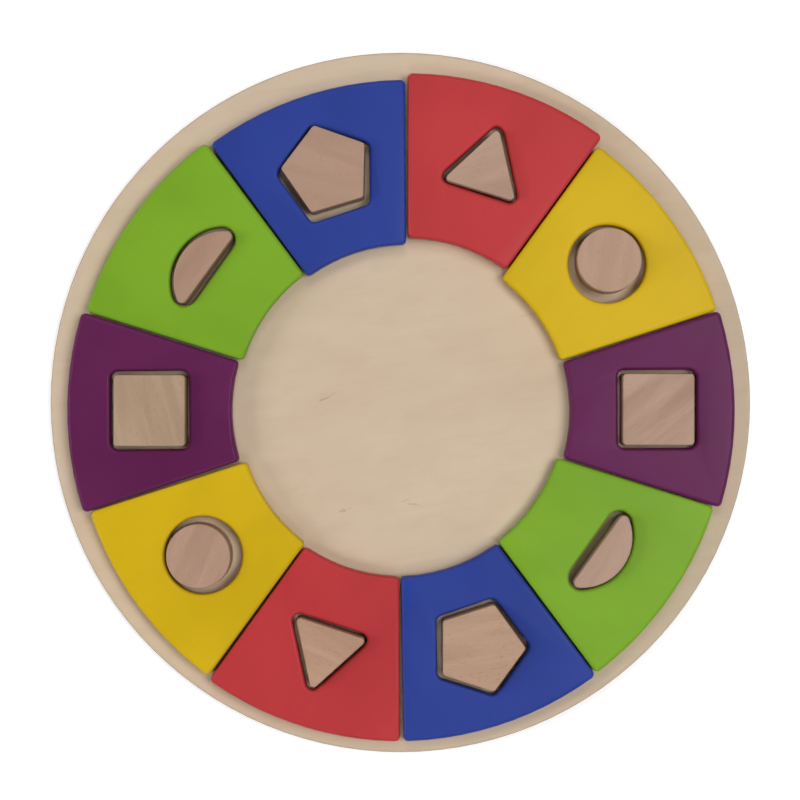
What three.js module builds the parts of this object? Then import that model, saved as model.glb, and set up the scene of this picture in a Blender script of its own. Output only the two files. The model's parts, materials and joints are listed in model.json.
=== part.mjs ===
// A round shape-sorting puzzle of wood. Ten painted segments lie in a ring on a plywood board,
// and each of them drops over a bare peg through a cut-out of that peg's own shape.
// Millimetres, +Z up. The origin is the centre of the board's underside.

import * as THREE from 'three';

// Board: a flat disc with eased edges, bare outside the ring and in the middle.
const boardDiameter = 300;
const boardThickness = 5;
const boardEdgeRadius = 1;
const rimWidth = 9.2;

// The ring is set a little off the board's centre, so the rim is widest at the top.
const ringOffsetX = 1.3;
const ringOffsetY = -2.6;

// Segments: wedges of the ring, one for each station. Their upright corners are rounder than the
// edges of their faces, by these amounts.
const ringWidth = 70;
const segmentThickness = 8;
const segmentEdgeRadius = 1.4;
const outerCornerBeyondEdge = 0.8;
const innerCornerBeyondEdge = 0.4;
const gapBetweenSegments = 0.7;

// Pegs: straight blocks that stand proud of the segments, on a circle near the ring's middle line.
// Their upright corners are rounder than the edges of their ends, by these amounts.
const pegHeight = 12.5;
const pegEdgeRadius = 0.6;
const pegCornerBeyondEdge = 1;
const halfRoundCornerBeyondEdge = 1.6;
const pegsOutsideMiddleLine = 1.4;
const squareSide = 30.2;
const circleDiameter = 27.3;
const triangleSide = 32.2;
const pentagonSide = 22.9;
const halfRoundWidth = 39.6;
const halfRoundDepth = 13.3;

// Cut-outs: the peg's outline grown by a clearance, with the corners that a router leaves.
const squareClearance = 1.6;
const circleClearance = 2.9;
const triangleClearance = 1.5;
const pentagonClearance = 2;
const halfRoundClearance = 2.1;
const cutOutCornerRadius = 3;
const halfRoundCutOutCornerRadius = 5.5;

// Pegs and segments keep this much room over the board that carries them.
const seatGap = 0.3;

// Facets stray from a true curve by no more than facetError, and closer points count as one.
const facetError = 0.06;
const samePoint = 1e-6;
const edgeFacets = 2;

const finishes = {
  plywood: { color: 0xcdb8a0, roughness: 0.7 },
  beech: { color: 0xb2937e, roughness: 0.65 },
  purple: { color: 0x5f2d54, roughness: 0.4 },
  yellow: { color: 0xceab26, roughness: 0.4 },
  red: { color: 0xb73c40, roughness: 0.4 },
  blue: { color: 0x2f4493, roughness: 0.4 },
  green: { color: 0x7ca835, roughness: 0.4 },
};

// Stations in order anticlockwise from the one on the right, each with a peg and its segment, as
// they were sawn, glued and laid by hand.
// Pairs are given first away from the ring's centre and then anticlockwise along the ring.
// drift is how far the peg was glued from its even place, and turn how far its corners were glued
// turned, in shares of the clearance.
// wider is what the segment has on each side beyond an even wedge, in gaps between segments.
// lie is how far it lies from its even place, and skew how far it lies turned from end to end,
// both in gaps between segments.
// slip is how far the middle of its cut-out lies from the peg, in shares of the clearance.
const stations = [
  {
    paint: 'purple', peg: 'square', side: 'right',
    drift: [0.7, -0.3],
    wider: -1.8, lie: [0.2, -0.6], skew: 0.6, slip: [-0.1, 0.1],
  },
  {
    paint: 'yellow', peg: 'circle', side: 'right',
    drift: [0.2, -0.3],
    wider: 0, lie: [-2, -1.9], skew: 0, slip: [-0.45, -0.3],
  },
  {
    paint: 'red', peg: 'triangle', side: 'top',
    drift: [-0.3, -1.8], turn: 0.2,
    wider: 0.6, lie: [3.3, -1.7], skew: 0, slip: [0.6, 0.1],
  },
  {
    paint: 'blue', peg: 'pentagon', side: 'top',
    drift: [-0.9, -0.4], turn: -0.2,
    wider: 0.7, lie: [-1.9, -0.6], skew: 0.7, slip: [-0.75, 0.1],
  },
  {
    paint: 'green', peg: 'half_round', side: 'left',
    drift: [0.6, 1.1],
    wider: 1.3, lie: [0.4, 2.2], skew: 1.3, slip: [-0.1, 0],
  },
  {
    paint: 'purple', peg: 'square', side: 'left',
    drift: [0.3, 0.8],
    wider: -0.6, lie: [3.2, 2], skew: 0.9, slip: [0.2, -0.1],
  },
  {
    paint: 'yellow', peg: 'circle', side: 'left',
    drift: [-0.3, -0.5],
    wider: -0.2, lie: [-0.2, 0.4], skew: -0.2, slip: [-0.5, 0.3],
  },
  {
    paint: 'red', peg: 'triangle', side: 'bottom',
    drift: [-0.3, -0.2],
    wider: -0.7, lie: [1.5, -0.6], skew: 0.4, slip: [0.2, -0.3],
  },
  {
    paint: 'blue', peg: 'pentagon', side: 'bottom',
    drift: [-0.9, -0.5],
    wider: 0.2, lie: [-0.2, -1.3], skew: 1.7, slip: [0, -0.2],
  },
  {
    paint: 'green', peg: 'half_round', side: 'right',
    drift: [0.6, 0.3],
    wider: 0.4, lie: [-2.8, 0.2], skew: 1.3, slip: [-0.65, 0.1],
  },
];

// Sizes that follow from the ones above.
const ringOuterRadius = boardDiameter / 2 - rimWidth;
const ringInnerRadius = ringOuterRadius - ringWidth;
const ringMiddleRadius = (ringOuterRadius + ringInnerRadius) / 2;
const pegCircleRadius = ringMiddleRadius + pegsOutsideMiddleLine;
const stationAngle = 2 * Math.PI / stations.length;

// Points along an arc, anticlockwise where `to` is the larger angle.
function arc(centreX, centreY, radius, from, to) {
  const widestStep = 2 * Math.acos(1 - Math.min(facetError / radius, 1));
  const steps = Math.max(2, Math.ceil(Math.abs(to - from) / widestStep));
  const curve = new THREE.EllipseCurve(centreX, centreY, radius, radius, from, to, to < from);
  return curve.getPoints(steps);
}

// Joins arcs into one closed outline. Straight sides need no points of their own.
function closedOutline(arcs) {
  const points = arcs.flat();
  return points.filter((point, index) => {
    const next = points[(index + 1) % points.length];
    return point.distanceTo(next) > samePoint;
  });
}

function circleOutline(radius) {
  const quarters = [0, 1, 2, 3].map((quarter) => {
    const from = quarter * Math.PI / 2;
    return arc(0, 0, radius, from, from + Math.PI / 2);
  });
  return closedOutline(quarters);
}

// A regular polygon with rounded corners, its sides moved outward by `grow`.
function polygonOutline(sides, sideLength, firstCornerAngle, grow, cornerRadius) {
  const halfTurn = Math.PI / sides;
  const distanceToSide = sideLength / (2 * Math.tan(halfTurn)) + grow;
  const distanceToCorner = (distanceToSide - cornerRadius) / Math.cos(halfTurn);
  const corners = [];
  for (let corner = 0; corner < sides; corner++) {
    const angle = firstCornerAngle + corner * 2 * halfTurn;
    const x = distanceToCorner * Math.cos(angle);
    const y = distanceToCorner * Math.sin(angle);
    corners.push(arc(x, y, cornerRadius, angle - halfTurn, angle + halfTurn));
  }
  return closedOutline(corners);
}

// A shallow dome on a flat side, moved outward by `grow`. The flat side faces -X.
function halfRoundOutline(grow, cornerRadius) {
  const pegDomeRadius = (halfRoundWidth ** 2 / 4 + halfRoundDepth ** 2) / (2 * halfRoundDepth);
  const domeCentre = halfRoundDepth / 2 - pegDomeRadius;
  const domeRadius = pegDomeRadius + grow;
  const cornerX = cornerRadius - grow - halfRoundDepth / 2;
  const cornerY = Math.sqrt((domeRadius - cornerRadius) ** 2 - (cornerX - domeCentre) ** 2);
  const domeEnd = Math.atan2(cornerY, cornerX - domeCentre);
  return closedOutline([
    arc(domeCentre, 0, domeRadius, -domeEnd, domeEnd),
    arc(cornerX, cornerY, cornerRadius, domeEnd, Math.PI),
    arc(cornerX, -cornerY, cornerRadius, Math.PI, 2 * Math.PI - domeEnd),
  ]);
}

// Each kind of peg has an outline about its own middle, with +X pointing away from the ring's
// centre. `reach` is the distance from that middle to the furthest corner.
function polygonKind(sides, sideLength, firstCornerAngle, clearance) {
  return {
    outline: (grow, corner) => polygonOutline(sides, sideLength, firstCornerAngle, grow, corner),
    reach: sideLength / (2 * Math.sin(Math.PI / sides)),
    clearance,
    pegCorner: pegEdgeRadius + pegCornerBeyondEdge,
    cutOutCorner: cutOutCornerRadius,
  };
}

const pegKinds = {
  square: polygonKind(4, squareSide, Math.PI / 4, squareClearance),
  circle: {
    outline: (grow) => circleOutline(circleDiameter / 2 + grow),
    reach: circleDiameter / 2,
    clearance: circleClearance,
  },
  triangle: polygonKind(3, triangleSide, 0, triangleClearance),
  pentagon: polygonKind(5, pentagonSide, 0, pentagonClearance),
  half_round: {
    outline: halfRoundOutline,
    reach: halfRoundWidth / 2,
    clearance: halfRoundClearance,
    pegCorner: pegEdgeRadius + halfRoundCornerBeyondEdge,
    cutOutCorner: halfRoundCutOutCornerRadius,
  },
};

// A wedge of the ring about +X. The straight sides of an even wedge run half a gap away from the
// lines between the stations, and its corners are rounded into the two arcs.
function segmentOutline(wider) {
  const halfAngle = stationAngle / 2;
  const inset = (1 / 2 - wider) * gapBetweenSegments;

  // Middle of a corner's rounding: its distance from the ring's centre fixes it on the side.
  function cornerMiddle(distanceFromCentre, cornerRadius) {
    const across = inset + cornerRadius;
    const along = Math.sqrt(distanceFromCentre ** 2 - across ** 2);
    return {
      x: along * Math.cos(halfAngle) + across * Math.sin(halfAngle),
      y: along * Math.sin(halfAngle) - across * Math.cos(halfAngle),
      angle: halfAngle - Math.atan2(across, along),
    };
  }

  const outerRadius = segmentEdgeRadius + outerCornerBeyondEdge;
  const innerRadius = segmentEdgeRadius + innerCornerBeyondEdge;
  const outer = cornerMiddle(ringOuterRadius - outerRadius, outerRadius);
  const inner = cornerMiddle(ringInnerRadius + innerRadius, innerRadius);
  const sideFacing = halfAngle + Math.PI / 2;
  return closedOutline([
    arc(0, 0, ringOuterRadius, -outer.angle, outer.angle),
    arc(outer.x, outer.y, outerRadius, outer.angle, sideFacing),
    arc(inner.x, inner.y, innerRadius, sideFacing, Math.PI + inner.angle),
    arc(0, 0, ringInnerRadius, inner.angle, -inner.angle),
    arc(inner.x, -inner.y, innerRadius, Math.PI - inner.angle, 2 * Math.PI - sideFacing),
    arc(outer.x, -outer.y, outerRadius, -sideFacing, -outer.angle),
  ]);
}

// A flat slab that stands on z = 0, with every edge rounded, those of its holes too.
function roundedSlab(outline, holes, thickness, edgeRadius) {
  const shape = new THREE.Shape(outline);
  shape.holes = holes.map((hole) => new THREE.Path(hole));
  const geometry = new THREE.ExtrudeGeometry(shape, {
    depth: thickness - 2 * edgeRadius,
    bevelThickness: edgeRadius,
    bevelSize: edgeRadius,
    bevelOffset: -edgeRadius,
    bevelSegments: edgeFacets,
  });
  return geometry.translate(0, 0, edgeRadius);
}

function namedMesh(name, geometry, finish) {
  const material = new THREE.MeshStandardMaterial({ ...finishes[finish], metalness: 0 });
  const mesh = new THREE.Mesh(geometry, material);
  mesh.name = name;
  return mesh;
}

function makeBoard() {
  const outline = circleOutline(boardDiameter / 2);
  const geometry = roundedSlab(outline, [], boardThickness, boardEdgeRadius);
  return namedMesh('base_board', geometry, 'plywood');
}

function makePeg({ peg, side, drift, turn = 0 }) {
  const kind = pegKinds[peg];
  const outline = kind.outline(0, kind.pegCorner);
  const geometry = roundedSlab(outline, [], pegHeight, pegEdgeRadius);
  const mesh = namedMesh(`${peg}_peg_${side}`, geometry, 'beech');
  mesh.position.set(pegCircleRadius + drift[0], drift[1], seatGap);
  mesh.rotation.z = turn * kind.clearance / kind.reach;
  return mesh;
}

// The segment is made in its even place and then moved and turned about its own middle.
function makeSegment({ paint, peg, side, drift, wider, lie, skew, slip }) {
  const kind = pegKinds[peg];
  const middle = new THREE.Vector2(ringMiddleRadius, 0);
  const move = new THREE.Vector2(...lie).multiplyScalar(gapBetweenSegments);
  const angle = skew * gapBetweenSegments / ringWidth;
  const cutOutMiddle = new THREE.Vector2(...slip).multiplyScalar(kind.clearance);
  cutOutMiddle.add(new THREE.Vector2(pegCircleRadius + drift[0], drift[1]));
  cutOutMiddle.sub(move).rotateAround(middle, -angle);
  const cutOut = kind.outline(kind.clearance, kind.cutOutCorner);
  cutOut.forEach((point) => point.add(cutOutMiddle));
  const outline = segmentOutline(wider);
  const geometry = roundedSlab(outline, [cutOut], segmentThickness, segmentEdgeRadius);
  const mesh = namedMesh(`${paint}_segment_${side}`, geometry, paint);
  const place = new THREE.Vector2(0, 0).rotateAround(middle, angle).add(move);
  mesh.position.set(place.x, place.y, seatGap);
  mesh.rotation.z = angle;
  return mesh;
}

const puzzle = new THREE.Group();
puzzle.add(makeBoard());

const ring = new THREE.Group();
ring.position.set(ringOffsetX, ringOffsetY, boardThickness);
puzzle.add(ring);

stations.forEach((station, index) => {
  const place = new THREE.Group();
  place.rotation.z = index * stationAngle;
  place.add(makePeg(station), makeSegment(station));
  ring.add(place);
});

export default puzzle;
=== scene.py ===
"""Looks for the round wooden shape puzzle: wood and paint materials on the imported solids, glue lines
under the pegs, a pale floor, soft studio light and a camera straight above."""
import json
import math

import bmesh
import bpy
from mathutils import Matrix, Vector

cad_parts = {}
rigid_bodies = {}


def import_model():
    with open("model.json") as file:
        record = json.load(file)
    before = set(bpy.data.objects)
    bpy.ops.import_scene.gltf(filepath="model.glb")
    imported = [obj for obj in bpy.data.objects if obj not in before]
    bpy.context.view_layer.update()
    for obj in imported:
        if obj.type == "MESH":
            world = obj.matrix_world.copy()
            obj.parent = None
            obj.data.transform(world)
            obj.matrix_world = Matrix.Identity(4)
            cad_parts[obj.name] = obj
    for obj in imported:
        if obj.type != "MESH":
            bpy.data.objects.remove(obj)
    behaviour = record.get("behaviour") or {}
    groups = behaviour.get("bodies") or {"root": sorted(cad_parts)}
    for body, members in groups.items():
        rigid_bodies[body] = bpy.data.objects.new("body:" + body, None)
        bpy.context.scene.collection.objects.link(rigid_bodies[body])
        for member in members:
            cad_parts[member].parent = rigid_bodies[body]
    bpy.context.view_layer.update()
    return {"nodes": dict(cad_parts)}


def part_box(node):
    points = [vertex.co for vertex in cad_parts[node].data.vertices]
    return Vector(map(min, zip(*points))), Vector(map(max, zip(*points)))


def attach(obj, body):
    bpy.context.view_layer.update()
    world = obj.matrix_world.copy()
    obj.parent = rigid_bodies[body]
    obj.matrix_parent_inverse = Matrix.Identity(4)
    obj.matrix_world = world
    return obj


for leftover in list(bpy.data.objects):
    bpy.data.objects.remove(leftover)
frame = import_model()

NODES = frame["nodes"]
MM = 0.001
BOARD_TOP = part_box("base_board")[1].z

# Colours of wood, paint and glue are screen values of 0 to 255, and angles are in degrees. The scale of
# a noise is in waves per metre: along the grain, across it and through the thickness.

# The board: its grain, its plies, and the larger dashes of resin on its top face, each with x, y, length
# and width in millimetres, an angle and a strength.
VENEER_ANGLE = 10
PLY_THICKNESS = 1 * MM
RESIN_DASHES = (
    (-32.6, 1.5, 6.4, 1.1, 22, 0.42),
    (-29.4, 3.3, 5.0, 0.9, 30, 0.16),
    (-24.8, -46.4, 4.2, 1.6, 12, 0.36),
    (-22.0, -45.5, 4.5, 0.9, 24, 0.16),
    (5.4, -43.6, 6.0, 1.2, -6, 0.3),
    (2.2, -42.0, 5.0, 1.4, 14, 0.16),
)

# Each peg is cut from another stick: light and dark colours, grain angle, fleck length in millimetres,
# fleck strength and where in the wood it was cut.
STICKS = {
    "square_peg_right": ((184, 152, 133), (163, 130, 111), 38, 2.0, 0.35, (0.31, 0.12, 0)),
    "square_peg_left": ((180, 152, 127), (165, 137, 112), 104, 2.8, 0.5, (0.77, 0.45, 0)),
    "circle_peg_right": ((184, 151, 129), (174, 141, 118), 85, 1.6, 0.4, (1.21, 0.93, 0)),
    "circle_peg_left": ((182, 148, 127), (168, 134, 113), 70, 1.4, 0.45, (1.73, 0.27, 0)),
    "triangle_peg_top": ((185, 153, 134), (167, 135, 116), 20, 1.8, 0.35, (2.11, 0.71, 0)),
    "triangle_peg_bottom": ((189, 151, 127), (171, 133, 110), -28, 1.8, 0.45, (2.63, 0.39, 0)),
    "pentagon_peg_top": ((177, 145, 124), (168, 136, 115), -18, 1.2, 0.4, (3.07, 0.88, 0)),
    "pentagon_peg_bottom": ((187, 153, 130), (174, 140, 116), 4, 2.4, 0.55, (3.59, 0.15, 0)),
    "half_round_peg_left": ((174, 141, 120), (160, 127, 107), 52, 1.5, 0.35, (4.02, 0.57, 0)),
    "half_round_peg_right": ((182, 151, 132), (170, 139, 120), 58, 1.5, 0.3, (4.41, 0.34, 0)),
}

# The paints: colour, colour where the coat is thin, and angle of the grain under it.
PAINTS = {
    "purple": ((94, 29, 77), (128, 74, 110), 4),
    "yellow": ((207, 172, 16), (226, 200, 96), 40),
    "red": ((184, 54, 57), (206, 104, 100), 76),
    "blue": ((41, 61, 144), (94, 110, 176), 112),
    "green": ((120, 165, 38), (158, 192, 98), 148),
}

# The glue bead under a peg: height over the board and spread beyond the peg's wall, in millimetres, from
# the bottom to the top. The wall starts where the peg's rounded lower edge ends.
BEAD_PROFILE = ((-0.02, 0.3), (0.12, 0.22), (0.3, 0.08), (0.55, -0.04), (0.75, -0.3))
PEG_EDGE_RADIUS = 0.6 * MM

# Corners of facets closer together than the weld are one corner, and heights closer together than the
# tolerance are one level.
WELD = 0.002 * MM
LEVEL_TOLERANCE = 0.01 * MM

# The floor: grey where lamps light it, the glow that lifts it to white where it is seen, near the object
# and far away from the lamps, and the grey that it gives back to the object.
FLOOR_LIT = (0.5, 0.5, 0.5, 1)
FLOOR_GLOW_NEAR = 0.58
FLOOR_GLOW_FAR = 1.0
FLOOR_NEAR = 0.4
FLOOR_FAR = 2.5
FLOOR_BOUNCED = (0.7, 0.7, 0.7, 1)
FLOOR_HALF_WIDTH = 12.0
FLOOR_LEVEL = -0.2 * MM

# The room: how much it fades from the horizon to straight above, and the share of it that lights the object.
ROOM_FADE = 0.75
ROOM_SHARE = 0.4

# Round soft boxes: azimuth from +X, lean from straight above and angular radius, and the share of the
# plain light level that each gives to a level surface.
LAMP_DISTANCE = 3.0
LAMPS = {
    "key_right": (2, 23, 14, 0.47),
    "fill_back": (92, 32, 9, 0.14),
    "fill_left": (182, 58, 12, 0.17),
    "fill_front": (272, 32, 9, 0.13),
}

# The camera, straight above, and how much of the board's top face its picture spans.
CAMERA_OVER_BOARD = 900 * MM
CAMERA_X = -0.17 * MM
CAMERA_Y = 1.07 * MM
PICTURE_SPAN = 342.86 * MM
SENSOR_WIDTH = 36


def linear(red, green, blue):
    """A linear colour with alpha from screen values of 0 to 255."""
    def channel(value):
        value /= 255
        return value / 12.92 if value <= 0.04045 else ((value + 0.055) / 1.055) ** 2.4
    return (channel(red), channel(green), channel(blue), 1.0)


class Tree:
    """A node tree, and short ways to add nodes to it."""

    def __init__(self, tree):
        self.tree = tree

    def add(self, kind, values=None, **settings):
        node = self.tree.nodes.new(kind)
        for key, value in settings.items():
            setattr(node, key, value)
        for key, value in (values or {}).items():
            self.feed(node.inputs[key], value)
        return node

    def feed(self, socket, value):
        """Links a socket to another one, or sets its value."""
        if isinstance(value, bpy.types.NodeSocket):
            self.tree.links.new(value, socket)
        else:
            socket.default_value = value

    def math(self, operation, *values):
        return self.add("ShaderNodeMath", dict(enumerate(values)), operation=operation).outputs[0]

    def vector_math(self, operation, *values):
        return self.add("ShaderNodeVectorMath", dict(enumerate(values)), operation=operation).outputs

    def ramp(self, value, low, high, out_low=0.0, out_high=1.0):
        """A smooth step from out_low to out_high, while `value` goes from low to high."""
        node = self.add("ShaderNodeMapRange", {
            "Value": value, "From Min": low, "From Max": high, "To Min": out_low, "To Max": out_high},
            interpolation_type="SMOOTHSTEP")
        return node.outputs[0]

    def height(self, vector):
        return self.add("ShaderNodeSeparateXYZ", {"Vector": vector}).outputs["Z"]

    def camera_ray(self):
        return self.add("ShaderNodeLightPath").outputs["Is Camera Ray"]

    def seen_ray(self):
        """1 for rays from the camera, in a reflection or through glass, and 0 for all other rays."""
        path = self.add("ShaderNodeLightPath").outputs
        mirrored = self.math("MAXIMUM", path["Is Glossy Ray"], path["Is Transmission Ray"])
        return self.math("MAXIMUM", path["Is Camera Ray"], mirrored)


class Shader(Tree):
    """A material with one Principled surface, and the patterns that wood and paint are made of."""

    def __init__(self, name, specular):
        self.material = bpy.data.materials.new(name)
        self.material.use_nodes = True
        super().__init__(self.material.node_tree)
        self.surface = self.tree.nodes["Principled BSDF"]
        self.surface.inputs["Specular IOR Level"].default_value = specular
        self.place = self.add("ShaderNodeTexCoord").outputs["Object"]

    def along_grain(self, angle, scale, shift=(0, 0, 0), place=None):
        """Object coordinates whose X runs along the grain, `angle` degrees from +X, times a scale."""
        turned = self.add("ShaderNodeMapping", {
            "Vector": place or self.place, "Rotation": (0, 0, -math.radians(angle)), "Location": shift})
        return self.add("ShaderNodeMapping", {"Vector": turned.outputs[0], "Scale": scale}).outputs[0]

    def noise(self, vector, detail=2.0, roughness=0.5, distortion=0.0):
        node = self.add("ShaderNodeTexNoise", {
            "Vector": vector, "Scale": 1.0, "Detail": detail,
            "Roughness": roughness, "Distortion": distortion})
        return node.outputs[0]

    def cells(self, vector):
        """Distance to the nearest of many scattered points, one in each unit cell."""
        return self.add("ShaderNodeTexVoronoi", {"Vector": vector, "Scale": 1.0}).outputs[0]

    def blend(self, factor, first, second):
        """A colour between two others. The Mix node has its colour sockets behind those of other types."""
        return self.add("ShaderNodeMix", {0: factor, 6: first, 7: second}, data_type="RGBA").outputs[2]

    def true_normal(self):
        return self.add("ShaderNodeNewGeometry").outputs["True Normal"]

    def lying_flat(self):
        """1 on faces that look straight up or down and 0 on upright walls."""
        return self.math("ABSOLUTE", self.height(self.true_normal()))

    def edges(self, radius):
        """1 close to an edge and 0 on flat stretches, as a rounded normal leans away by 6 to 26 degrees."""
        rounded = self.add("ShaderNodeBevel", {"Radius": radius}, samples=8).outputs[0]
        along = self.vector_math("DOT_PRODUCT", rounded, self.true_normal())["Value"]
        return self.ramp(along, 0.995, 0.9)

    def bump(self, height, distance, strength=1.0, under=None):
        node = self.add("ShaderNodeBump", {"Height": height, "Distance": distance, "Strength": strength})
        if under is not None:
            self.feed(node.inputs["Normal"], under)
        return node.outputs[0]

    def finish(self, colour, roughness, normal):
        self.feed(self.surface.inputs["Base Color"], colour)
        self.feed(self.surface.inputs["Roughness"], roughness)
        self.feed(self.surface.inputs["Normal"], normal)
        return self.material


def resin_dash(s, ragged, x, y, length, width, angle, strength):
    """How much of one spindle-shaped dash with a ragged outline shows, on the board's top face only."""
    middle = (x * MM, y * MM, BOARD_TOP)
    fade_with_depth = 300
    from_middle = s.vector_math("SUBTRACT", s.place, middle)["Vector"]
    scale = (2 / (length * MM), 2 / (width * MM), fade_with_depth)
    reach = s.vector_math("LENGTH", s.along_grain(angle, scale, place=from_middle))["Value"]
    reach = s.math("ADD", reach, s.math("MULTIPLY", s.math("SUBTRACT", ragged, 0.5), 1.6))
    return s.ramp(reach, 1.1, 0.5, 0.0, strength)


def plies(s):
    """Colour around the board's edge, where the plies show in turn with the grain and across it."""
    wander = s.noise(s.along_grain(0, (60, 60, 0)))
    layer = s.math("ADD", s.math("MULTIPLY", s.height(s.place), 1 / PLY_THICKNESS),
                   s.math("MULTIPLY", wander, 0.25))
    wave = s.math("SINE", s.math("MULTIPLY", layer, math.pi))
    colour = s.blend(s.ramp(wave, -0.15, 0.15), linear(206, 184, 154), linear(158, 126, 96))
    pores = s.noise(s.along_grain(0, (900, 900, 900)))
    return s.blend(s.ramp(pores, 0.45, 0.75, 0.0, 0.4), colour, linear(128, 98, 72))


def plywood():
    """Pale rotary-cut veneer on both faces, and bands of plies around the edge."""
    s = Shader("pale_plywood", specular=0.3)

    def veneer_noise(scale, **settings):
        return s.noise(s.along_grain(VENEER_ANGLE, scale), **settings)

    patches = veneer_noise((7, 20, 7), detail=3, roughness=0.55, distortion=0.6)
    mottle = veneer_noise((55, 130, 55), detail=3, roughness=0.6, distortion=0.5)
    streaks = veneer_noise((24, 300, 60), detail=4, roughness=0.6, distortion=0.4)
    fibres = veneer_noise((140, 1900, 300), detail=3, roughness=0.6)
    colour = s.blend(s.ramp(patches, 0.3, 0.7), linear(204, 182, 156), linear(209, 188, 163))
    colour = s.blend(s.ramp(mottle, 0.35, 0.75, 0.0, 0.35), colour, linear(196, 173, 146))
    colour = s.blend(s.ramp(streaks, 0.45, 0.8, 0.0, 0.2), colour, linear(193, 169, 142))
    colour = s.blend(s.ramp(fibres, 0.5, 0.85, 0.0, 0.2), colour, linear(190, 166, 140))

    # Few and far between, thin brown dashes of resin along the grain, and some larger ones.
    dashes = s.cells(s.along_grain(VENEER_ANGLE, (26, 300, 40)))
    groups = s.noise(s.along_grain(VENEER_ANGLE, (13, 17, 13), (3.1, 1.7, 0)), detail=1)
    flecks = s.math("MULTIPLY", s.ramp(dashes, 0.13, 0.05), s.ramp(groups, 0.6, 0.7, 0.0, 0.4))
    ragged = veneer_noise((500, 1500, 300), roughness=0.7)
    for dash in RESIN_DASHES:
        flecks = s.math("MAXIMUM", flecks, resin_dash(s, ragged, *dash))
    colour = s.blend(flecks, colour, linear(150, 116, 88))
    colour = s.blend(s.ramp(s.lying_flat(), 0.8, 0.35), colour, plies(s))

    roughness = s.ramp(streaks, 0.2, 0.8, 0.5, 0.66)
    grain = s.bump(streaks, 0.05 * MM, 0.5)
    grain = s.bump(fibres, 0.03 * MM, 0.5, under=grain)
    return s.finish(colour, roughness, grain)


def beech(name, light, dark, angle, fleck_length, fleck_strength, shift):
    """Bare sanded beech: soft growth bands, fine fibres and the short dark flecks of its rays."""
    s = Shader(f"bare_beech_{name}", specular=0.25)
    bands = s.noise(s.along_grain(angle, (14, 110, 60), shift), detail=3, distortion=0.9)
    fibres = s.noise(s.along_grain(angle, (150, 2200, 900), shift), detail=3, roughness=0.6, distortion=0.2)
    fibre_colour = linear(*(0.86 * value for value in dark))
    colour = s.blend(s.ramp(bands, 0.25, 0.75), linear(*dark), linear(*light))
    colour = s.blend(s.ramp(fibres, 0.45, 0.85, 0.0, 0.3), colour, fibre_colour)

    rays = s.cells(s.along_grain(angle, (1 / (fleck_length * MM), 1700, 700), shift))
    thin_out = s.noise(s.along_grain(angle, (90, 260, 120), shift))
    flecks = s.math("MULTIPLY", s.ramp(rays, 0.36, 0.1), s.ramp(thin_out, 0.44, 0.58))
    colour = s.blend(s.math("MULTIPLY", flecks, fleck_strength), colour, linear(146, 102, 70))

    # Upright faces are a little darker, partly the wood closer to end grain and partly painted shade for the
    # walls that sit in shadow in the gaps, and sanded edges are a little paler.
    colour = s.blend(s.ramp(s.lying_flat(), 0.6, 0.2, 0.0, 0.2), colour, linear(138, 100, 74))
    colour = s.blend(s.math("MULTIPLY", s.edges(0.7 * MM), 0.3), colour, linear(204, 178, 156))

    roughness = s.ramp(bands, 0.2, 0.8, 0.56, 0.7)
    grain = s.bump(fibres, 0.04 * MM, 0.7)
    grain = s.bump(flecks, -0.03 * MM, 0.6, under=grain)
    return s.finish(colour, roughness, grain)


def paint(name, colour_values, thin_values, angle):
    """Sprayed satin paint over wood: faint grain under the coat, tiny bubbles and thinner edges."""
    s = Shader(f"{name}_paint", specular=0.12)
    mottle = s.noise(s.along_grain(angle, (14, 22, 14)), detail=3, roughness=0.55)
    grain_under = s.noise(s.along_grain(angle, (40, 900, 300)), detail=3, roughness=0.6)
    peel = s.noise(s.along_grain(angle, (520, 520, 520)))
    bubbles = s.cells(s.along_grain(angle, (160, 160, 160)))

    darker = linear(*(0.965 * value for value in colour_values))
    lighter = linear(*(min(255, 1.02 * value + 1) for value in colour_values))
    thin_coat = linear(*thin_values)
    colour = s.blend(s.ramp(mottle, 0.3, 0.7), darker, lighter)
    colour = s.blend(s.ramp(grain_under, 0.5, 0.8, 0.0, 0.3), colour, darker)
    colour = s.blend(s.ramp(bubbles, 0.08, 0.04, 0.0, 0.12), colour, thin_coat)

    # The coat thins out along the edges, more in some places than in others.
    patchy = s.noise(s.along_grain(angle, (130, 130, 130)), detail=3, roughness=0.6)
    thinness = s.math("MULTIPLY", s.edges(0.8 * MM), s.ramp(patchy, 0.4, 0.7, 0.05, 0.25))
    colour = s.blend(thinness, colour, thin_coat)

    roughness = s.ramp(mottle, 0.25, 0.75, 0.32, 0.4)
    normal = s.bump(peel, 0.02 * MM, 0.4)
    normal = s.bump(grain_under, 0.03 * MM, 0.4, under=normal)
    return s.finish(colour, roughness, normal)


def glue():
    """Dried wood glue, amber and half smeared into the wood."""
    s = Shader("dried_glue", specular=0.4)
    smears = s.noise(s.along_grain(0, (260, 260, 900)), detail=3)
    colour = s.blend(s.ramp(smears, 0.35, 0.7), linear(170, 138, 108), linear(192, 162, 128))
    roughness = s.ramp(smears, 0.3, 0.7, 0.35, 0.6)
    return s.finish(colour, roughness, s.bump(smears, 0.05 * MM, 0.6))


def wear(node, material):
    """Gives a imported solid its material, for all of its faces."""
    node.data.materials.clear()
    node.data.materials.append(material)


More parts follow.
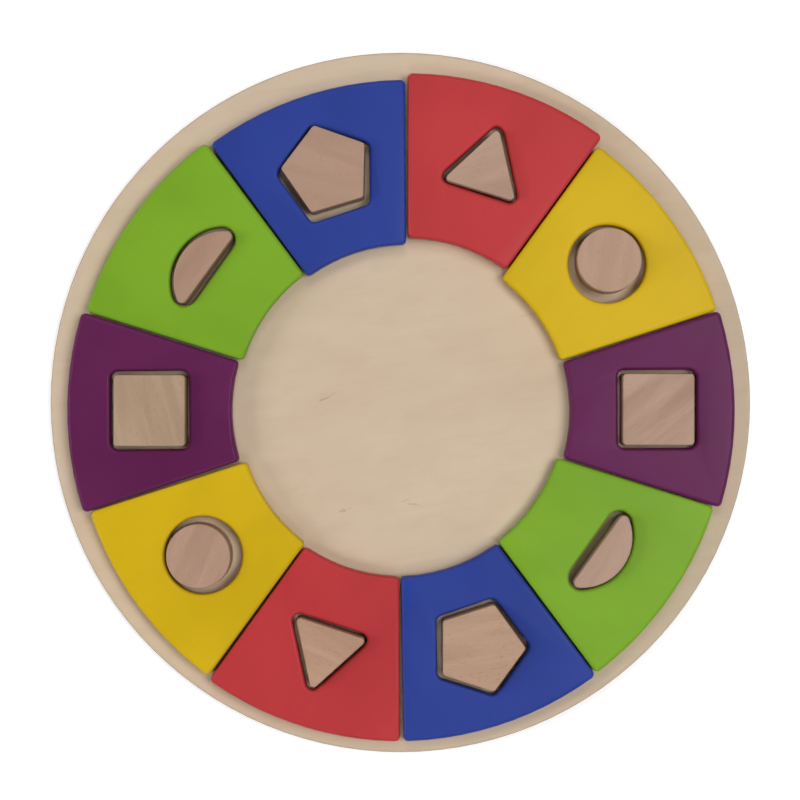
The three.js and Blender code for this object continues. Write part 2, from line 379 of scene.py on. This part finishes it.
def smooth_edges_group():
    """Geometry nodes that weld the facets and shade them as one rounded surface."""
    group = bpy.data.node_groups.new("smooth_edges", "GeometryNodeTree")
    for direction in ("INPUT", "OUTPUT"):
        group.interface.new_socket("Geometry", in_out=direction, socket_type="NodeSocketGeometry")
    start = group.nodes.new("NodeGroupInput")
    plain = group.nodes.new("GeometryNodeRemoveAttribute")
    plain.inputs["Name"].default_value = "custom_normal"
    weld = group.nodes.new("GeometryNodeMergeByDistance")
    weld.inputs["Distance"].default_value = WELD
    smooth = group.nodes.new("GeometryNodeSetShadeSmooth")
    end = group.nodes.new("NodeGroupOutput")
    for first, second in ((start, plain), (plain, weld), (weld, smooth), (smooth, end)):
        group.links.new(first.outputs[0], second.inputs[0])
    return group


def smooth_shading(node, group):
    """Rounds the shading of the edges, while the largest face at each corner keeps its own normal."""
    node.modifiers.new("smooth_edges", "NODES").node_group = group
    weighted = node.modifiers.new("flat_faces_stay_flat", "WEIGHTED_NORMAL")
    weighted.mode = "FACE_AREA"
    weighted.weight = 100


def outline_of_peg(node, level):
    """The peg's outline at a height above its underside, in order around its middle."""
    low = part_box(node.name)[0]
    ring = {}
    for vertex in node.data.vertices:
        if abs(vertex.co.z - low.z - level) < LEVEL_TOLERANCE:
            ring[(round(vertex.co.x, 6), round(vertex.co.y, 6))] = vertex.co.to_2d()
    points = list(ring.values())
    middle = sum(points, Vector((0, 0))) / len(points)
    points.sort(key=lambda p: math.atan2(p.y - middle.y, p.x - middle.x))
    return points


def moved_outward(points, distance):
    """A convex outline, given anticlockwise, with each point moved out along its two sides' normal."""
    moved = []
    for before, here, after in zip(points[-1:] + points[:-1], points, points[1:] + points[:1]):
        along = ((here - before).normalized() + (after - here).normalized()).normalized()
        moved.append(here + Vector((along.y, -along.x)) * distance)
    return moved


def glue_line(node, material):
    """A thin closed bead of glue that joins a peg's underside to the board."""
    outline = outline_of_peg(node, PEG_EDGE_RADIUS)
    mesh = bmesh.new()
    loops = []
    for height, spread in BEAD_PROFILE:
        z = BOARD_TOP + height * MM
        loops.append([mesh.verts.new((p.x, p.y, z)) for p in moved_outward(outline, spread * MM)])
    for lower, upper in zip(loops, loops[1:]):
        for i in range(len(lower)):
            j = (i + 1) % len(lower)
            mesh.faces.new((lower[i], lower[j], upper[j], upper[i])).smooth = True
    mesh.faces.new(reversed(loops[0]))
    mesh.faces.new(loops[-1])
    data = bpy.data.meshes.new(f"glue_line_{node.name}")
    mesh.to_mesh(data)
    mesh.free()
    data.materials.append(material)
    bead = bpy.data.objects.new(data.name, data)
    bpy.context.scene.collection.objects.link(bead)
    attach(bead, "board")


def floor_material():
    """White where it is fully lit, to the camera and in reflections, and pale grey to all other rays."""
    material = bpy.data.materials.new("pale_floor")
    material.use_nodes = True
    t = Tree(material.node_tree)
    t.tree.nodes.remove(t.tree.nodes["Principled BSDF"])
    distance = t.vector_math("LENGTH", t.add("ShaderNodeTexCoord").outputs["Object"])["Value"]
    strength = t.ramp(distance, FLOOR_NEAR, FLOOR_FAR, FLOOR_GLOW_NEAR, FLOOR_GLOW_FAR)
    lit = t.add("ShaderNodeBsdfDiffuse", {"Color": FLOOR_LIT}).outputs[0]
    glow = t.add("ShaderNodeEmission", {"Strength": strength}).outputs[0]
    seen = t.add("ShaderNodeAddShader", {0: lit, 1: glow}).outputs[0]
    bounced = t.add("ShaderNodeBsdfDiffuse", {"Color": FLOOR_BOUNCED}).outputs[0]
    both = t.add("ShaderNodeMixShader", {0: t.seen_ray(), 1: bounced, 2: seen}).outputs[0]
    t.feed(t.tree.nodes["Material Output"].inputs["Surface"], both)
    return material


def make_floor():
    corners = [(x * FLOOR_HALF_WIDTH, y * FLOOR_HALF_WIDTH, FLOOR_LEVEL)
               for x, y in ((-1, -1), (1, -1), (1, 1), (-1, 1))]
    data = bpy.data.meshes.new("floor")
    data.from_pydata(corners, [], [(0, 1, 2, 3)])
    data.materials.append(floor_material())
    floor = bpy.data.objects.new("floor", data)
    bpy.context.scene.collection.objects.link(floor)


def make_world():
    """A room that is white to the camera, dims overhead in reflections, and lights the object less."""
    world = bpy.data.worlds.new("soft_room")
    world.use_nodes = True
    t = Tree(world.node_tree)
    up = t.height(t.add("ShaderNodeTexCoord").outputs["Generated"])
    fade = t.math("POWER", t.math("MULTIPLY_ADD", up, -ROOM_FADE, 1.0), 2.0)
    share = t.math("MULTIPLY_ADD", t.seen_ray(), 1 - ROOM_SHARE, ROOM_SHARE)
    strength = t.math("MAXIMUM", t.math("MULTIPLY", fade, share), t.camera_ray())
    background = t.tree.nodes["Background"]
    t.feed(background.inputs["Strength"], strength)
    background.inputs["Color"].default_value = (1, 1, 1, 1)
    bpy.context.scene.world = world


def make_lamp(name, azimuth, lean, radius, share):
    """A round soft box that looks at the object and gives a level surface a share of the plain light."""
    lean = math.radians(lean)
    azimuth = math.radians(azimuth)
    data = bpy.data.lights.new(name, "AREA")
    data.shape = "DISK"
    data.size = 2 * LAMP_DISTANCE * math.tan(math.radians(radius))
    data.energy = share * (math.pi * LAMP_DISTANCE) ** 2 / math.cos(lean)
    lamp = bpy.data.objects.new(name, data)
    across = LAMP_DISTANCE * math.sin(lean)
    up = LAMP_DISTANCE * math.cos(lean)
    lamp.location = (across * math.cos(azimuth), across * math.sin(azimuth), up)
    lamp.rotation_euler = (-lamp.location).to_track_quat("-Z", "Y").to_euler()
    bpy.context.scene.collection.objects.link(lamp)


def make_camera():
    data = bpy.data.cameras.new("camera")
    data.sensor_width = SENSOR_WIDTH
    data.sensor_fit = "HORIZONTAL"
    data.lens = SENSOR_WIDTH * CAMERA_OVER_BOARD / PICTURE_SPAN
    data.clip_start = 0.01
    data.clip_end = 50
    camera = bpy.data.objects.new("camera", data)
    camera.location = (CAMERA_X, CAMERA_Y, BOARD_TOP + CAMERA_OVER_BOARD)
    bpy.context.scene.collection.objects.link(camera)
    bpy.context.scene.camera = camera


wear(NODES["base_board"], plywood())

paints = {name: paint(name, *values) for name, values in PAINTS.items()}
for name, node in NODES.items():
    if "_segment_" in name:
        wear(node, paints[name.split("_")[0]])

glue_material = glue()
for name, stick in STICKS.items():
    wear(NODES[name], beech(name, *stick))
    glue_line(NODES[name], glue_material)

smooth_group = smooth_edges_group()
for node in NODES.values():
    smooth_shading(node, smooth_group)

make_floor()
make_world()
for name, lamp in LAMPS.items():
    make_lamp(name, *lamp)
make_camera()
bpy.context.scene.view_settings.view_transform = "Standard"
